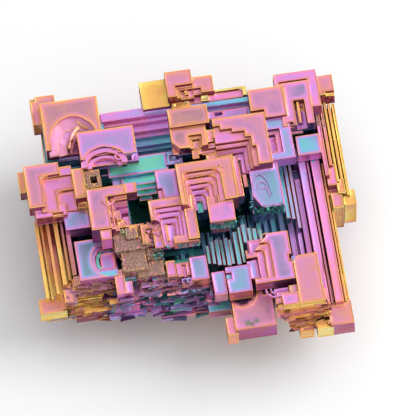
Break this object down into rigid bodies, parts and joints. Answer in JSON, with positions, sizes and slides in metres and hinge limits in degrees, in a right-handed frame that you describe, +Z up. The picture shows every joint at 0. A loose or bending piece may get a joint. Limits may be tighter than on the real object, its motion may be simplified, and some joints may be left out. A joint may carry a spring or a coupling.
{
  "type": "bismuth hopper crystal",
  "caption": "Free-standing cluster of square bismuth hopper crystals with stepped hollows, long ledges and an iridescent oxide skin, resting on a flat root.",
  "frame": {"origin": "middle of the bounding box at the flat root it rests on", "axes": "+Z up, +X along the long side of the cluster, +Y towards the back row of crystals"},
  "size_m": [0.064, 0.0554, 0.0257],
  "materials": {
    "bismuth": "satin metal under a thin iridescent oxide, from yellow at the rims through pink and lilac to blue and teal"
  },
  "bodies": {
    "root": {"hopper_crystal": "bismuth"}
  },
  "joints": []
}
